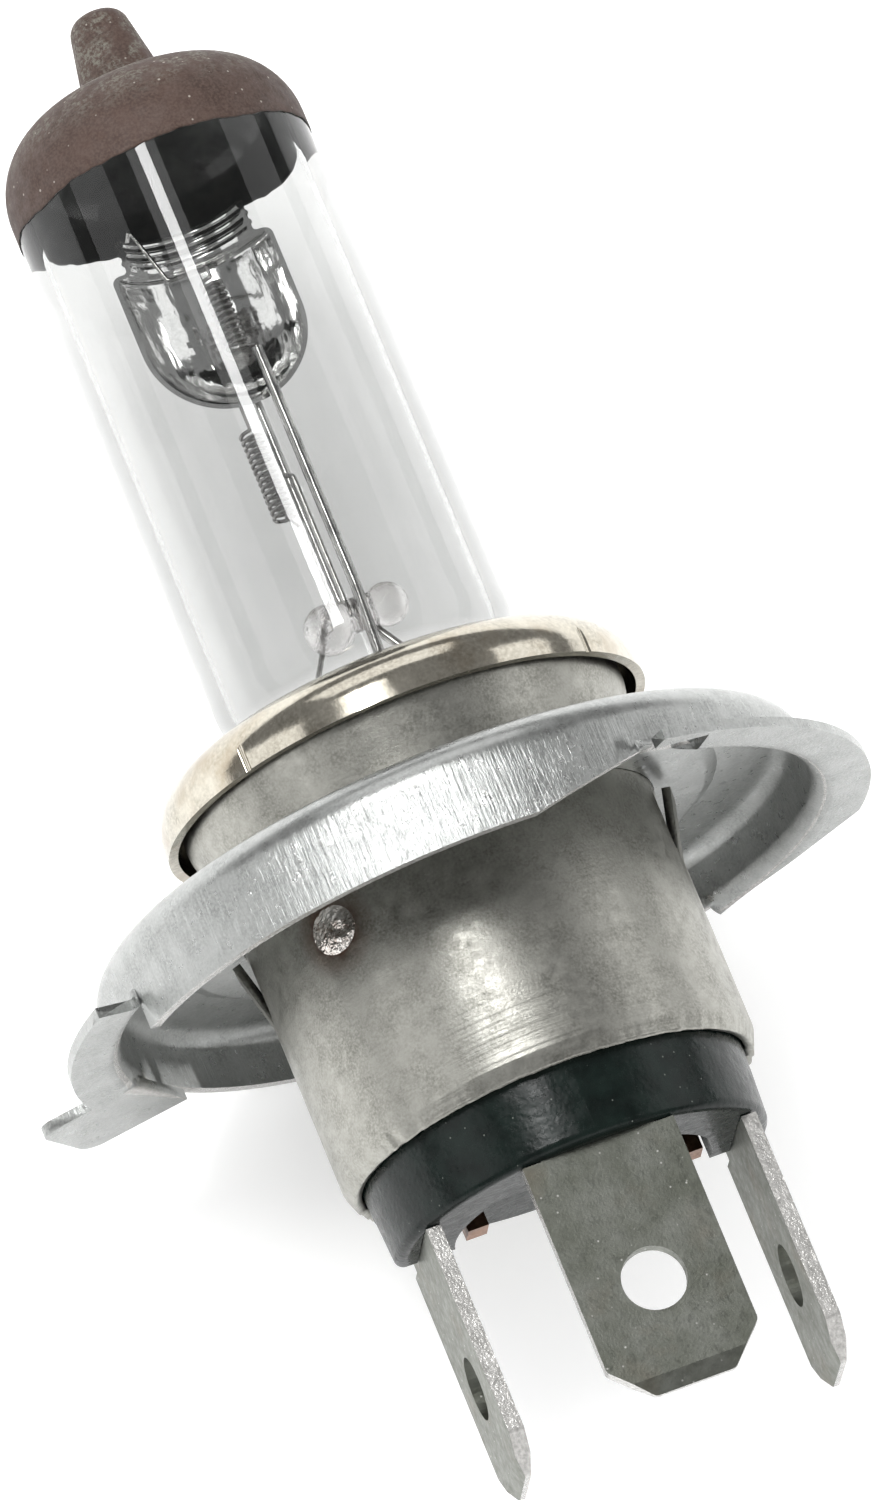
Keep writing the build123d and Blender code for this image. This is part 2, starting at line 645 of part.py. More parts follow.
def terminal_crimps():
    """Small copper lugs at the inner faces of the blades, in the insulator's pocket."""
    roof = INSULATOR_BOTTOM + POCKET_DEPTH
    lugs = []
    for place in blade_places():
        inner = POCKET_RADIUS - CRIMP_DEPTH - SLIP
        offset = place.position.length
        lug = block(CRIMP_WIDTH, POCKET_DEPTH, CRIMP_DEPTH, 0, roof - POCKET_DEPTH / 2, inner - offset)
        lugs.append((place * lug).solid())
    return Compound(lugs)


blades = [place * blade() for place in blade_places()]
lead_columns = (0, -LEAD_PITCH, LEAD_PITCH)
outer_leads = [outer_lead(x, place) for x, place in zip(lead_columns, blade_places())]

nodes = {
    "glass_envelope": glass_envelope(),
    "cap_coating": cap_coating(),
    "dipped_beam_shield": dipped_beam_shield(),
    "dipped_beam_filament": dipped_beam_filament(),
    "main_beam_filament": main_beam_filament(),
    "common_lead_rod": rod(),
    "main_beam_lead": main_lead(),
    "shield_support": shield_support(),
    "dipped_beam_wire": dipped_beam_wire(),
    "coil_hook": hook(),
    "glass_bridge": glass_bridge(),
    "lead_bead": lead_bead(),
    "collar_ring": collar_ring(),
    "base_sleeve": base_sleeve(),
    "weld_spots": weld_spots(),
    "flange_ring": flange_ring(),
    "pinch_clamp": pinch_clamp(),
    "insulator": insulator(),
    "solder_joints": solder_joints(outer_leads, blades),
    "terminal_crimps": terminal_crimps(),
}
sides = ("centre", "left", "right")
for side, x, plate, lead in zip(sides, lead_columns, blades, outer_leads):
    nodes[f"{side}_terminal"] = plate
    nodes[f"{side}_outer_lead"] = lead
    nodes[f"{side}_foil"] = foil(x)

os.makedirs("parts", exist_ok=True)
for name, shape in nodes.items():
    export_step(shape, f"parts/{name}.step")
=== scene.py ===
import math

import bmesh
import bpy
from mathutils import Matrix, Vector, noise


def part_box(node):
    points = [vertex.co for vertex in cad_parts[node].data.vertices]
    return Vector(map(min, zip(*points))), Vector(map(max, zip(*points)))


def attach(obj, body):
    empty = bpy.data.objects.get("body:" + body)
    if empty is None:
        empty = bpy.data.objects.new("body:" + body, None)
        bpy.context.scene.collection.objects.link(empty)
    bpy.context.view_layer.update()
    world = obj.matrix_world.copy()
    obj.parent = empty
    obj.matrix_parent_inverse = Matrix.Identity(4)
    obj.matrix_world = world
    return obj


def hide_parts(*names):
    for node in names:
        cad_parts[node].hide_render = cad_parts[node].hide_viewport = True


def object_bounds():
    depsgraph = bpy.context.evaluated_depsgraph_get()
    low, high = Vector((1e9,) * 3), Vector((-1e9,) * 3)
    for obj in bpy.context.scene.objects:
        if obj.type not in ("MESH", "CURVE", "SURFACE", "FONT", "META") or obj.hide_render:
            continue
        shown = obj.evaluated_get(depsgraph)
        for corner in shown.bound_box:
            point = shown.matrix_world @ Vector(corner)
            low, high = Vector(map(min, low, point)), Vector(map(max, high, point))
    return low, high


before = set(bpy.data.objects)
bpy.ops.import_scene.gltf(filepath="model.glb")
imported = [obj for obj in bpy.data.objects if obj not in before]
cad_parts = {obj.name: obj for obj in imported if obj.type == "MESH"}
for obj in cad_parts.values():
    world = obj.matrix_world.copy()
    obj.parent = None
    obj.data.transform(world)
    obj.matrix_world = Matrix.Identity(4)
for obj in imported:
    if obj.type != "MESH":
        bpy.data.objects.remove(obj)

cad_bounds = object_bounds()

MM = 0.001

# Camera
VIEW_FROM = Vector((-0.18, -0.292, 0.939)).normalized()
VIEW_LEAN = 22.6          # lean of the bulb's axis in the picture, in degrees
VIEW_DISTANCE = 700 * MM
LENS = 336.0
SENSOR = 36.0
FRAME_RIGHT = -1.35 * MM  # how far the picture's middle lies from the origin
FRAME_UP = 8.45 * MM
CLIP_NEAR = 10 * MM
CLIP_FAR = 10.0

# Floor and lights, in metres
FLOOR_HALF = 2.0
FLOOR_GLOW = 0.15
WORLD_LIGHT = 0.30
LIGHT_AIM = Vector((0, 0.02, 0))
ALONG_BULB = (0, 1, 0)
ACROSS_BULB = (1, 0, 0)
SOFTBOX_SIZE = (0.9, 0.5)
SOFTBOX_POWER = 1.7
SOFTBOXES = (("left", (-0.8, 0, 0.42), ALONG_BULB), ("right", (0.8, 0, 0.42), ALONG_BULB),
             ("foot", (0, -0.9, 0.42), ACROSS_BULB), ("head", (0, 0.9, 0.5), ACROSS_BULB))
STRIP_FROM = Vector((-0.26, 0.29, 0.92)).normalized()
STRIP_SIDE = (0.982, 0, 0.19)
STRIPS = (("strip_core", 0.65, (0.085, 0.26), 1.5),  # name, distance, size, power
          ("strip_glow", 0.70, (0.26, 0.36), 0.6))
FILL_PLACE = (-0.1, 0.1, 1.0)
FILL_SIZE = (2.4, 2.4)
FILL_POWER = 21.0

# Places on the bulb, in millimetres, that the materials and the refined pieces follow
WELD_ANGLES = (-46, 134)
WELD_HEIGHT = -0.5
SLEEVE_RADIUS = 11.05
HEAT_REACH = 2.6          # heat tint round a weld: where it ends, and where it is full
HEAT_CORE = 1.0
DRAW_TOP = -6.0           # draw rings near the sleeve's foot: where they start, and where they are full
DRAW_FULL = -9.5
SLEEVE_CURL_TOP = -10.6
CURL_LENGTH = 0.8
CURL_INWARD = 0.06
CURL_TEETH = 0.05         # unevenness of the foot inwards, and along the axis
CURL_WAVES = 0.06
SKIRT_INSIDE = 18.4       # the ring in which the skirt's edge lies, and the height that it stays below
SKIRT_OUTSIDE = 19.2
SKIRT_LOW = 0.1
SKIRT_MARKS_TOP = 2.6     # draw marks on the skirt: where they start, and where they are full
SKIRT_MARKS_FULL = 1.6
HOLE_HEIGHT = -23.1
HOLE_REACH = 1.75         # a little more than the hole's radius
GLASS_INSIDE = 7.2        # between the glass tube's bore and its outside
GLASS_OUTSIDE = 7.6
COAT_EDGE = 41.8
COAT_FADE = 1.2           # height over which the edge's wandering dies out
COAT_RAGGED = 0.28        # how far the paint's edge wanders
COAT_CLEAR = 0.02         # how far each face of the paint draws in, off the glass
CAP_SHOULDER = 44.0
CROWN_TOP = 46.2          # where the dust on the crown is thickest

# How the refined pieces are made
MERGE_GAP = 0.0005        # millimetres
GRID_STEP = 1e-7          # metres
SPLIT_ROUNDS = 8
COAT_SPLIT = 0.3          # longest edge by the paint's rim, and how far above the rim, in millimetres
COAT_SPLIT_BAND = 1.3
CURL_SPLIT = 0.28         # the same at the sleeve's foot
CURL_SPLIT_BAND = 0.3
SHARP_ANGLE = 35          # degrees
BLADE_SHARP = 8           # lower, so that the blades' flat faces stay flat
BEVEL_ANGLE = 40
BEVEL_WIDTH = 0.07
BEVEL_SEGMENTS = 2
FACE_ON = 0.6             # a blade's face is turned at least this much towards its flat side
EDGE_DOWN = -0.8          # the skirt's cut edge is turned at least this much downwards


# Pieces

def place(angle, radius, height):
    """A point in millimetres; the angle starts at +Z and grows towards +X."""
    turn = math.radians(angle)
    return Vector((radius * math.sin(turn), height, radius * math.cos(turn)))


def refined(node, *materials, material_of=None, shape=None, split=(), sharp=SHARP_ANGLE):
    """A finer copy of a CAD node: split edges, move vertices, then choose each face's material."""
    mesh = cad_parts[node].data.copy()
    mesh.name = node + "_skin"
    mesh.materials.clear()
    for material in materials:
        mesh.materials.append(material)
    work = bmesh.new()
    work.from_mesh(mesh)
    bmesh.ops.remove_doubles(work, verts=work.verts, dist=MERGE_GAP * MM)
    bmesh.ops.dissolve_degenerate(work, edges=work.edges, dist=MERGE_GAP * MM)
    for longest, chosen in split:
        split_long(work, longest * MM, chosen)
    work.normal_update()
    if shape:
        moves = [shape(v.co / MM, v.normal) for v in work.verts]
        for vertex, move in zip(work.verts, moves):
            vertex.co += move * MM
        work.normal_update()
    for face in work.faces:
        face.smooth = True
        face.material_index = material_of(face.calc_center_median() / MM, face.normal) if material_of else 0
    work.to_mesh(mesh)
    work.free()
    obj = bpy.data.objects.new(mesh.name, mesh)
    bpy.context.scene.collection.objects.link(obj)
    mesh.set_sharp_from_angle(angle=math.radians(sharp))
    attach(obj, "root")
    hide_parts(node)
    return obj


def split_long(work, longest, chosen):
    """Halve chosen edges longer than the limit; each new point keeps its ends' distance from the axis."""
    for _ in range(SPLIT_ROUNDS):
        edges = [e for e in work.edges if e.calc_length() > longest
                 and chosen((e.verts[0].co + e.verts[1].co) / 2 / MM)]
        if not edges:
            return
        radii = {}
        for edge in edges:
            a, b = (v.co for v in edge.verts)
            radii[grid((a + b) / 2)] = (math.hypot(a.x, a.z) + math.hypot(b.x, b.z)) / 2
        old = set(work.verts)
        bmesh.ops.subdivide_edges(work, edges=edges, cuts=1)
        for vertex in work.verts:
            if vertex not in old and grid(vertex.co) in radii:
                grow = radii[grid(vertex.co)] / math.hypot(vertex.co.x, vertex.co.z)
                vertex.co.x *= grow
                vertex.co.z *= grow
        bmesh.ops.triangulate(work, faces=[f for f in work.faces if len(f.verts) > 3])


def grid(point):
    """A point's cell on a fine grid, to find it again."""
    return tuple(round(c / GRID_STEP) for c in point)


def bevel(obj):
    """Round the sharp edges of a piece."""
    modifier = obj.modifiers.new("bevel", "BEVEL")
    modifier.width = BEVEL_WIDTH * MM
    modifier.segments = BEVEL_SEGMENTS
    modifier.limit_method = "ANGLE"
    modifier.angle_limit = math.radians(BEVEL_ANGLE)
    modifier.use_clamp_overlap = True


# Materials

class Surface:
    """A Principled material whose textures lie in the bulb's own frame, in millimetres."""

    def __init__(self, name, color, metallic=0.0, roughness=0.5):
        self.material = bpy.data.materials.new(name)
        self.material.use_nodes = True
        self.tree = self.material.node_tree
        self.shader = self.tree.nodes["Principled BSDF"]
        self.set("Base Color", (*color, 1))
        self.set("Metallic", metallic)
        self.set("Roughness", roughness)
        place_node = self.tree.nodes.new("ShaderNodeTexCoord")
        self.coordinates = self.scaled(place_node.outputs["Object"], (1 / MM,) * 3)

    def set(self, socket, value):
        self.shader.inputs[socket].default_value = value

    def link(self, output, socket):
        self.tree.links.new(output, self.shader.inputs[socket])

    def linked(self, socket):
        """What feeds one of the shader's sockets so far."""
        return self.shader.inputs[socket].links[0].from_socket

    def give(self, socket, value):
        """Link a node's output to a socket, or set the socket to a value."""
        if isinstance(value, bpy.types.NodeSocket):
            self.tree.links.new(value, socket)
        else:
            socket.default_value = value

    def node(self, kind, inputs=None, **settings):
        node = self.tree.nodes.new(kind)
        for key, value in settings.items():
            setattr(node, key, value)
        for key, value in (inputs or {}).items():
            self.give(node.inputs[key], value)
        return node

    def scaled(self, vector, scale):
        return self.node("ShaderNodeMapping", {"Vector": vector, "Scale": scale}).outputs["Vector"]

    def noise(self, scale, detail=3.0, stretch=(1, 1, 1), roughness=0.55):
        vector = self.scaled(self.coordinates, stretch)
        inputs = {"Vector": vector, "Scale": scale, "Detail": detail, "Roughness": roughness}
        return self.node("ShaderNodeTexNoise", inputs).outputs["Fac"]

    def cells(self, scale):
        """Distance to the nearest of many scattered points, for specks."""
        inputs = {"Vector": self.coordinates, "Scale": scale}
        return self.node("ShaderNodeTexVoronoi", inputs).outputs["Distance"]

    def remap(self, value, low, high, new_low=0.0, new_high=1.0):
        inputs = {"Value": value, "From Min": low, "From Max": high, "To Min": new_low, "To Max": new_high}
        return self.node("ShaderNodeMapRange", inputs, clamp=True).outputs["Result"]

    def times(self, a, b):
        return self.node("ShaderNodeMath", {0: a, 1: b}, operation="MULTIPLY").outputs[0]

    def mixed(self, factor, a, b):
        """A colour between two; each is a node's output or three numbers."""
        node = self.node("ShaderNodeMix", data_type="RGBA")
        sockets = {s.name: s for s in node.inputs if s.enabled}
        self.give(sockets["Factor"], factor)
        for key, color in (("A", a), ("B", b)):
            self.give(sockets[key], color if isinstance(color, bpy.types.NodeSocket) else (*color, 1))
        return next(s for s in node.outputs if s.type == "RGBA" and s.enabled)

    def bump(self, height, strength, distance=0.05, after=None):
        """A bump of the given depth in millimetres, on top of another if there is one."""
        inputs = {"Height": height, "Strength": strength, "Distance": distance * MM}
        if after is not None:
            inputs["Normal"] = after
        return self.node("ShaderNodeBump", inputs).outputs["Normal"]

    def height(self):
        """Place along the bulb's axis."""
        split = self.node("ShaderNodeSeparateXYZ", {"Vector": self.coordinates})
        return split.outputs["Y"]

    def radius(self):
        """Distance from the bulb's axis."""
        inputs = {0: self.scaled(self.coordinates, (1, 0, 1))}
        return self.node("ShaderNodeVectorMath", inputs, operation="LENGTH").outputs["Value"]

    def distance_to(self, point):
        inputs = {0: self.coordinates, 1: point}
        return self.node("ShaderNodeVectorMath", inputs, operation="DISTANCE").outputs["Value"]


def cap_paint():
    """Matte brown paint with pale dust that settles on the crown."""
    s = Surface("cap_paint", (0.11, 0.065, 0.05), 0.0, 0.72)
    tone = s.mixed(s.remap(s.noise(0.5), 0.35, 0.65), (0.036, 0.0205, 0.0155), (0.056, 0.0325, 0.025))
    grain = s.mixed(s.remap(s.noise(7.0, 4), 0.4, 0.7), tone, (0.075, 0.048, 0.038))
    crown = s.remap(s.height(), CAP_SHOULDER, CROWN_TOP)
    patch = s.times(s.remap(s.noise(0.9, 5), 0.42, 0.55), crown)
    dusty = s.times(s.remap(s.noise(4.0, 6, roughness=0.75), 0.46, 0.58), patch)
    specks = s.remap(s.cells(1.2), 0.10, 0.06)
    color = s.mixed(s.times(dusty, 0.8), grain, (0.155, 0.15, 0.125))
    s.link(s.mixed(s.times(specks, 0.8), color, (0.34, 0.31, 0.27)), "Base Color")
    s.link(s.remap(s.noise(1.4, 4), 0.3, 0.7, 0.58, 0.82), "Roughness")
    s.link(s.bump(s.noise(9.0, 5), 0.35, 0.03, s.bump(s.noise(1.1, 3), 0.3, 0.12)), "Normal")
    return s.material


def cap_inside():
    """The paint's underside, seen through the glass."""
    s = Surface("cap_inside", (0.03, 0.034, 0.03), 0.0, 0.35)
    blotches = s.remap(s.noise(0.7, 4), 0.35, 0.65)
    s.link(s.mixed(blotches, (0.018, 0.021, 0.019), (0.05, 0.054, 0.048)), "Base Color")
    s.link(s.bump(s.noise(2.5, 5), 0.4, 0.05), "Normal")
    return s.material


def clear_glass():
    """Thin clear glass: it hardly bends what lies behind it, and its coat mirrors the lights. The grey of
    its outer face is painted shade, standing in for the darkening that refraction and reflection give real
    glass.
    """
    s = Surface("clear_glass", (0.985, 0.99, 0.985), 0.0, 0.0)
    s.set("Transmission Weight", 1.0)
    s.set("IOR", 1.03)
    s.set("Coat IOR", 1.45)
    s.set("Coat Roughness", 0.01)
    # painted shade: this grey on the outer face is not the glass's own colour but stands in for the
    # darkening from refraction and reflection
    tint = s.mixed(s.remap(s.noise(0.25, 2), 0.4, 0.6), (0.585, 0.592, 0.586), (0.61, 0.617, 0.61))
    outside = s.remap(s.radius(), GLASS_INSIDE, GLASS_OUTSIDE)
    s.link(s.mixed(outside, (0.99, 0.99, 0.99), tint), "Base Color")
    s.link(s.times(outside, 0.9), "Coat Weight")
    s.link(s.bump(s.noise(0.35, 2, (1, 0.25, 1)), 0.10, 0.06), "Normal")
    s.link(s.linked("Normal"), "Coat Normal")
    return s.material


def bead_glass():
    """Cloudy glass melted round the leads."""
    s = Surface("bead_glass", (0.97, 0.94, 0.93), 0.0, 0.03)
    s.set("Transmission Weight", 1.0)
    s.set("IOR", 1.47)
    cloud = s.remap(s.noise(1.2, 3), 0.4, 0.62)
    s.link(s.mixed(cloud, (0.985, 0.975, 0.97), (0.95, 0.92, 0.915)), "Base Color")
    s.link(s.bump(s.noise(2.2, 4), 0.55, 0.2), "Normal")
    return s.material


def metal(name, dark, light, rough, grain=8.0, grain_bump=0.15, wobble=0.2, stretch=(1, 1, 1)):
    """A bare metal: blotches of tone, a fine grain and slow waves in its surface."""
    s = Surface(name, light, 1.0, rough)
    tone = s.mixed(s.remap(s.noise(0.6, 4), 0.35, 0.65), dark, light)
    fine = s.noise(grain, 3, stretch)
    glint = tuple(min(1, c * 1.12) for c in light)
    s.link(s.mixed(s.remap(fine, 0.35, 0.75), tone, glint), "Base Color")
    s.link(s.remap(s.noise(1.7, 5), 0.3, 0.7, rough * 0.8, rough * 1.25), "Roughness")
    s.link(s.bump(fine, grain_bump, 0.02, s.bump(s.noise(0.45, 2), wobble, 0.06)), "Normal")
    return s


def sleeve_steel(spots):
    """Satin steel with a sparkling grain, draw rings near its foot and heat tint round the welds."""
    s = metal("sleeve_steel", (0.225, 0.223, 0.198), (0.37, 0.366, 0.335), 0.40,
              grain=7.0, grain_bump=0.5, wobble=0.1)
    base = s.linked("Base Color")
    for spot in spots:
        halo = s.remap(s.distance_to(spot), HEAT_REACH, HEAT_CORE)
        ragged = s.times(halo, s.remap(s.noise(1.2, 4), 0.3, 0.6, 0.5, 1.0))
        base = s.mixed(ragged, base, (0.11, 0.055, 0.032))
    s.link(base, "Base Color")
    rings = s.noise(3.0, 2, (0.02, 1, 0.02))
    foot = s.remap(s.height(), DRAW_TOP, DRAW_FULL, 0.05, 0.36)
    s.link(s.bump(rings, foot, 0.12, s.linked("Normal")), "Normal")
    return s.material


def flange_zinc():
    """Matte zinc plate with fine draw marks down its skirt."""
    s = metal("flange_zinc", (0.285, 0.293, 0.285), (0.40, 0.408, 0.40), 0.31,
              grain=7.0, grain_bump=0.12, wobble=0.15)
    marks = s.noise(5.0, 4, (1, 0.06, 1), 0.7)
    skirt = s.remap(s.height(), SKIRT_MARKS_TOP, SKIRT_MARKS_FULL, 0.0, 0.6)
    s.link(s.bump(marks, skirt, 0.1, s.linked("Normal")), "Normal")
    return s.material


def black_plastic():
    """Moulded black plastic with a green cast and a little dust."""
    s = Surface("black_plastic", (0.012, 0.013, 0.0125), 0.0, 0.34)
    tone = s.mixed(s.remap(s.noise(0.8, 4), 0.35, 0.65), (0.0018, 0.0042, 0.0035), (0.0045, 0.0095, 0.0078))
    dust = s.remap(s.cells(1.6), 0.09, 0.04)
    s.link(s.mixed(s.times(dust, 0.4), tone, (0.28, 0.30, 0.27)), "Base Color")
    s.set("Specular IOR Level", 0.22)
    s.link(s.remap(s.noise(1.5, 5), 0.3, 0.7, 0.18, 0.34), "Roughness")
    s.link(s.bump(s.noise(4.0, 5), 0.25, 0.05, s.bump(s.noise(0.5, 3), 0.35, 0.15)), "Normal")
    return s.material


def blade_metal():
    """Dull plated steel with stains and bright specks."""
    s = Surface("blade_metal", (0.3, 0.31, 0.28), 1.0, 0.42)
    stain = s.remap(s.noise(0.45, 5, roughness=0.65), 0.35, 0.68)
    tone = s.mixed(stain, (0.15, 0.157, 0.132), (0.225, 0.232, 0.208))
    brown = s.mixed(s.remap(s.noise(0.3, 3), 0.55, 0.75, 0, 0.5), tone, (0.20, 0.17, 0.13))
    specks = s.remap(s.cells(1.5), 0.10, 0.04)
    s.link(s.mixed(s.times(specks, 0.7), brown, (0.72, 0.71, 0.68)), "Base Color")
    s.link(s.remap(s.noise(2.2, 5), 0.3, 0.7, 0.34, 0.55), "Roughness")
    s.link(s.bump(s.noise(6.0, 4), 0.3, 0.04, s.bump(s.noise(0.9, 3), 0.2, 0.08)), "Normal")
    return s.material


def cut_edge_and_painted_highlight():
    """The rough edge left by a blanking tool, made bright partly as bare cut metal and partly as a painted
    highlight.
    """
    s = Surface("cut_edge_and_painted_highlight", (0.8, 0.78, 0.74), 0.6, 0.25)
    streaks = s.remap(s.noise(5.0, 4, (1, 0.4, 1)), 0.3, 0.7)
    # partly painted highlight: the light grey of these streaks also stands in for the highlight that a
    # rounded edge catches
    s.link(s.mixed(streaks, (0.34, 0.335, 0.32), (0.60, 0.59, 0.57)), "Base Color")
    s.link(s.bump(s.noise(6.0, 3), 0.5, 0.08), "Normal")
    return s.material


def collar_nickel():
    """Warm polished nickel with shallow waves and brownish stains."""
    s = metal("collar_nickel", (0.33, 0.305, 0.25), (0.52, 0.49, 0.42), 0.13,
              grain=5.0, grain_bump=0.12, wobble=0.35)
    stain = s.remap(s.noise(0.35, 4, roughness=0.6), 0.5, 0.72, 0, 0.8)
    s.link(s.mixed(stain, s.linked("Base Color"), (0.36, 0.30, 0.22)), "Base Color")
    return s.material


def shield_mirror():
    """Bright pressed metal whose surface waves slowly."""
    s = metal("shield_mirror", (0.80, 0.80, 0.79), (0.95, 0.95, 0.94), 0.08,
              grain=9.0, grain_bump=0.08, wobble=0.5)
    waves = s.noise(0.9, 2, (1, 0.45, 1))
    s.link(s.bump(waves, 0.5, 0.12, s.linked("Normal")), "Normal")
    return s.material


def wire_metal(name):
    """Drawn wire with long streaks along it."""
    s = metal(name, (0.20, 0.20, 0.20), (0.52, 0.515, 0.50), 0.2,
              grain=6.0, grain_bump=0.3, wobble=0.3, stretch=(1, 0.15, 1))
    return s.material


def coil_metal():
    """Dark grey tungsten with a fine grain."""
    s = metal("coil_tungsten", (0.16, 0.155, 0.15), (0.34, 0.335, 0.33), 0.3, grain=12.0, grain_bump=0.3)
    return s.material


def foil_metal():
    """Grey molybdenum foil."""
    s = metal("foil_molybdenum", (0.36, 0.35, 0.36), (0.55, 0.54, 0.54), 0.3, grain=6.0, grain_bump=0.4)
    return s.material


def weld_metal():
    """A bright, lumpy weld with scorched patches."""
    s = metal("weld_metal", (0.20, 0.13, 0.09), (0.70, 0.68, 0.65), 0.16,
              grain=4.0, grain_bump=0.5, wobble=0.5)
    s.link(s.bump(s.noise(1.1, 3), 0.9, 0.5, s.linked("Normal")), "Normal")
    return s.material


def copper():
    """Dark, rough copper of the joints and crimps."""
    s = metal("solder_copper", (0.10, 0.05, 0.03), (0.30, 0.17, 0.11), 0.35, grain=5.0, grain_bump=0.6)
    return s.material


def clamp_steel():
    """Plain steel of the clamp inside the base."""
    s = metal("clamp_steel", (0.38, 0.36, 0.33), (0.55, 0.53, 0.5), 0.35, grain=7.0, grain_bump=0.3)
    return s.material


# Camera, floor and lights

def make_camera():
    """A long lens from the terminals' side and above, with the bulb's tip leaning left."""
    axis = Vector(ALONG_BULB)
    along = (axis - axis.dot(VIEW_FROM) * VIEW_FROM).normalized()
    across = along.cross(VIEW_FROM)
    lean = math.radians(VIEW_LEAN)
    up = math.cos(lean) * along + math.sin(lean) * across
    right = math.cos(lean) * across - math.sin(lean) * along
    target = right * FRAME_RIGHT + up * FRAME_UP
    data = bpy.data.cameras.new("camera")
    data.lens = LENS
    data.sensor_fit = "VERTICAL"
    data.sensor_height = SENSOR
    data.clip_start = CLIP_NEAR
    data.clip_end = CLIP_FAR
    camera = bpy.data.objects.new("camera", data)
    turn = Matrix((right, up, VIEW_FROM)).transposed()
    camera.matrix_world = Matrix.Translation(target + VIEW_FROM * VIEW_DISTANCE) @ turn.to_4x4()
    bpy.context.scene.collection.objects.link(camera)
    bpy.context.scene.camera = camera


def area_light(name, place_at, size, power, side=ALONG_BULB, mirrored=True):
    """A rectangular light that faces the bulb, with its width along the side direction."""
    data = bpy.data.lights.new(name, "AREA")
    data.shape = "RECTANGLE"
    data.size, data.size_y = size
    data.energy = power
    light = bpy.data.objects.new(name, data)
    back = (Vector(place_at) - LIGHT_AIM).normalized()
    wide = (Vector(side) - back * back.dot(Vector(side))).normalized()
    turn = Matrix((wide, back.cross(wide), back)).transposed()
    light.matrix_world = Matrix.Translation(Vector(place_at)) @ turn.to_4x4()
    light.visible_glossy = mirrored
    light.visible_transmission = mirrored
    bpy.context.scene.collection.objects.link(light)


def make_floor():
    """A plain white floor under the bulb, which glows a little."""
    low = cad_bounds[0][2]
    mesh = bpy.data.meshes.new("floor")
    corners = ((-1, -1), (1, -1), (1, 1), (-1, 1))
    mesh.from_pydata([(x * FLOOR_HALF, y * FLOOR_HALF, low) for x, y in corners], [], [(0, 1, 2, 3)])
    floor = bpy.data.objects.new("floor", mesh)
    bpy.context.scene.collection.objects.link(floor)
    surface = Surface("floor_white", (0.95, 0.95, 0.95), 0.0, 0.9)
    surface.link(surface.mixed(surface.noise(0.02), (0.945,) * 3, (0.955,) * 3), "Base Color")
    surface.set("Emission Color", (1, 1, 1, 1))
    surface.set("Emission Strength", FLOOR_GLOW)
    mesh.materials.append(surface.material)


def make_lights():
    """Four low softboxes round the bulb, two strips over it, and a broad fill that metal doesn't mirror."""
    world = bpy.data.worlds.new("studio")
    bpy.context.scene.world = world
    world.use_nodes = True
    background = world.node_tree.nodes["Background"]
    background.inputs["Color"].default_value = (1, 1, 1, 1)
    background.inputs["Strength"].default_value = WORLD_LIGHT
    for name, place_at, side in SOFTBOXES:
        area_light(name, place_at, SOFTBOX_SIZE, SOFTBOX_POWER, side)
    for name, distance, size, power in STRIPS:
        area_light(name, LIGHT_AIM + STRIP_FROM * distance, size, power, STRIP_SIDE)
    area_light("fill", FILL_PLACE, FILL_SIZE, FILL_POWER, mirrored=False)


# Dressing the bulb

def dress(material, *nodes):
    """Give CAD nodes a material."""
    for node in nodes:
        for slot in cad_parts[node].material_slots:
            slot.material = material


def make_cap():
    """The painted cap: a thin shell with a wandering lower edge and a darker underside."""
    def shape(point, normal):
        angle = math.atan2(point.x, point.z)
        low = max(0.0, 1 - (point.y - COAT_EDGE) / COAT_FADE)
        wander = noise.noise(Vector((math.sin(angle) * 2.3, math.cos(angle) * 2.3, 0.4)))
        wander += 0.4 * noise.noise(Vector((math.sin(angle) * 11, math.cos(angle) * 11, 3.1)))
        return Vector((0, COAT_RAGGED * wander * low, 0)) - normal * COAT_CLEAR

    def side(centre, normal):
        outward = Vector((centre.x, max(0, centre.y - CAP_SHOULDER), centre.z))
        return 0 if normal.dot(outward) > 0 else 1

    rim = (COAT_SPLIT, lambda p: p.y < COAT_EDGE + COAT_SPLIT_BAND)
    refined("cap_coating", cap_paint(), cap_inside(), material_of=side, shape=shape, split=[rim])


def make_blades():
    """The three terminals, with cut edges round their dull faces, made bright partly as bare metal and
    partly as a painted highlight.
    """
    face_metal = blade_metal()
    edge_metal = cut_edge_and_painted_highlight()
    for node, flat in (("centre_terminal", 2), ("left_terminal", 0), ("right_terminal", 0)):
        low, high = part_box(node)
        middle = (Vector(low) + Vector(high)) / 2 / MM
        middle[1] = HOLE_HEIGHT
        middle[flat] = 0

        def side(centre, normal, flat=flat, hole=middle.copy()):
            across = Vector(centre)
            across[flat] = 0
            inside_hole = (across - hole).length < HOLE_REACH
            return 0 if abs(normal[flat]) > FACE_ON or inside_hole else 1

        bevel(refined(node, face_metal, edge_metal, material_of=side, sharp=BLADE_SHARP))


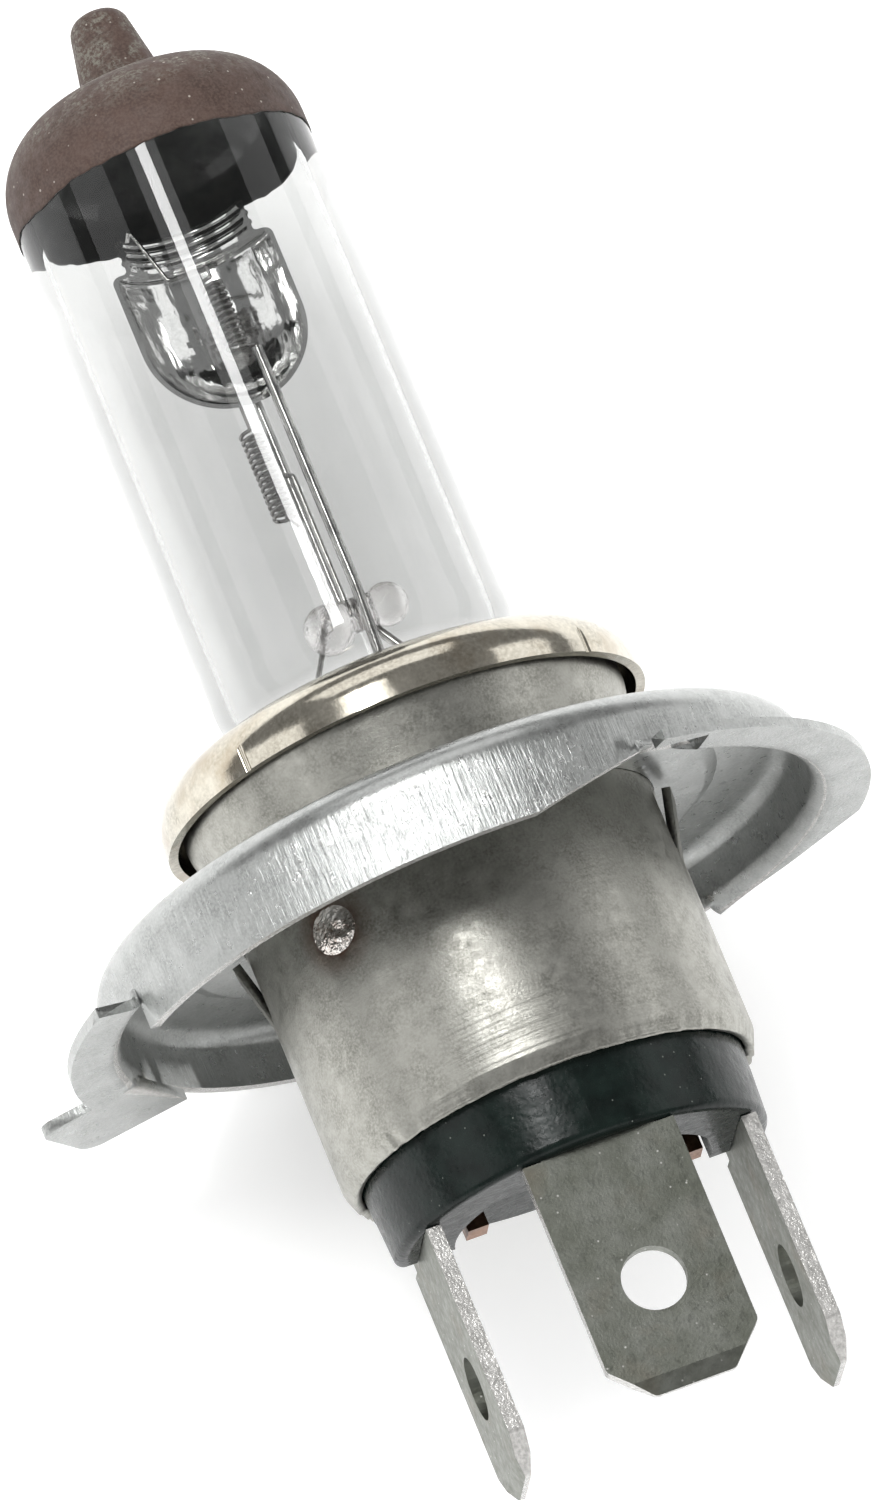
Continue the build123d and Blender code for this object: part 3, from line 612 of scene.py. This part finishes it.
def make_sleeve():
    """The sleeve, with its foot rolled roughly inwards."""
    def shape(point, normal):
        low = min(1.0, max(0.0, (SLEEVE_CURL_TOP - point.y) / CURL_LENGTH))
        angle = math.atan2(point.x, point.z)
        round_place = Vector((math.sin(angle), math.cos(angle), 0))
        teeth = noise.noise(round_place * 16) + 0.6 * noise.noise(round_place * 37)
        inward = Vector((-point.x, 0, -point.z)).normalized()
        return (inward * (CURL_INWARD + CURL_TEETH * teeth) + Vector((0, CURL_WAVES * teeth, 0))) * low

    spots = [place(a, SLEEVE_RADIUS, WELD_HEIGHT) for a in WELD_ANGLES]
    foot = (CURL_SPLIT, lambda p: p.y < SLEEVE_CURL_TOP + CURL_SPLIT_BAND)
    refined("base_sleeve", sleeve_steel(spots), shape=shape, split=[foot])


def make_flange():
    """The flange, with the skirt's blanked edge made bright: partly bare cut metal, partly a painted
    highlight.
    """
    def side(centre, normal):
        on_skirt = SKIRT_INSIDE < math.hypot(centre.x, centre.z) < SKIRT_OUTSIDE
        return 1 if on_skirt and normal.y < EDGE_DOWN and centre.y < SKIRT_LOW else 0

    refined("flange_ring", flange_zinc(), cut_edge_and_painted_highlight(), material_of=side)


def make_bulb():
    """Refine the pieces whose looks need it, and dress the rest."""
    make_cap()
    make_blades()
    make_sleeve()
    make_flange()
    dress(clear_glass(), "glass_envelope")
    dress(bead_glass(), "glass_bridge", "lead_bead")
    dress(collar_nickel(), "collar_ring")
    dress(black_plastic(), "insulator")
    dress(shield_mirror(), "dipped_beam_shield")
    dress(wire_metal("rod_molybdenum"), "common_lead_rod", "main_beam_lead", "shield_support",
          "dipped_beam_wire", "coil_hook")
    dress(coil_metal(), "dipped_beam_filament", "main_beam_filament")
    dress(foil_metal(), "centre_foil", "left_foil", "right_foil")
    dress(weld_metal(), "weld_spots")
    dress(wire_metal("lead_nickel"), "centre_outer_lead", "left_outer_lead", "right_outer_lead")
    dress(copper(), "solder_joints", "terminal_crimps")
    dress(clamp_steel(), "pinch_clamp")


make_bulb()
make_camera()
make_floor()
make_lights()
bpy.context.scene.view_settings.view_transform = "Standard"
